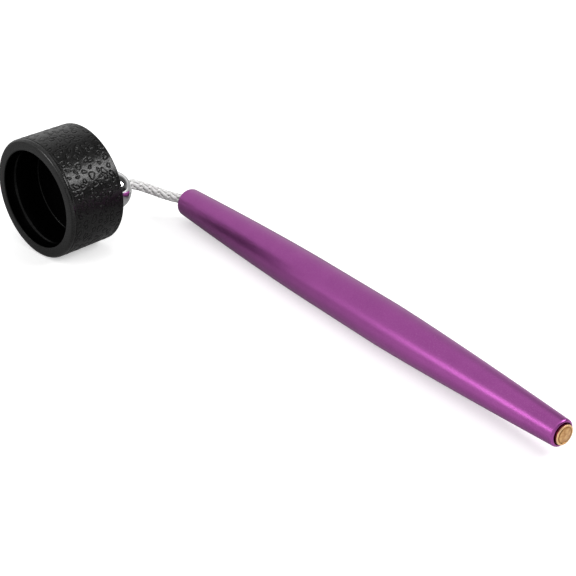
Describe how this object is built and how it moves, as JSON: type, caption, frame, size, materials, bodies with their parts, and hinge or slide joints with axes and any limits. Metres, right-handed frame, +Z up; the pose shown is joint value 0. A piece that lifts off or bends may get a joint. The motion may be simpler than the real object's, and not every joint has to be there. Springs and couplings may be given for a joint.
{
  "type": "pocket chalk holder",
  "caption": "Pocket holder for billiard chalk: a turned metal handle, a short braided cord, and a round cup that a steel ball and a magnet hold to the cord.",
  "frame": {"origin": "on the table, under the middle of the outline of the handle, ball and cup", "axes": "+X along the handle towards its brass plug, +Z up from the table, and the cup's mouth faces -Y, turned 9.64 degrees towards +X"},
  "size_m": [0.1825, 0.0578, 0.036],
  "materials": {
    "purple_anodised": "satin, blasted and anodised purple",
    "brass": "turned, with a dull face",
    "white_braid": "round braid of white synthetic yarn",
    "chrome": "mirror",
    "black_grain": "black, glossy, with a raised leather grain round the wall",
    "nickel": "nickel plated"
  },
  "bodies": {
    "handle": {"handle_body": "purple_anodised", "end_plug": "brass"},
    "cord_root": {"cord_root": "white_braid", "handle_bead": "white_braid"},
    "cord_tip": {"cord_tip": "white_braid", "ball_bead": "white_braid"},
    "ball": {"ball": "chrome"},
    "cup": {"cup_shell": "black_grain", "magnet": "nickel"}
  },
  "joints": [
    {"name": "cord_swivel", "type": "hinge", "parent": "handle", "child": "cord_root", "pos_m": [-0.065, 0.0228, 0.00602], "axis": [1, 0, 0], "continuous": true},
    {"name": "cord_bend", "type": "hinge", "parent": "cord_root", "child": "cord_tip", "pos_m": [-0.072, 0.0152, 0.0092], "axis": [0, 0, -1], "range_deg": [-35, 100]},
    {"name": "ball_swivel", "type": "hinge", "parent": "cord_tip", "child": "ball", "pos_m": [-0.06952, -0.00148, 0.01473], "axis": [-0.1675, 0.9859, 0], "continuous": true},
    {"name": "cup_pull_off", "type": "slide", "parent": "ball", "child": "cup", "axis": [0.1675, -0.9859, 0], "range_m": [0, 0.03]}
  ]
}
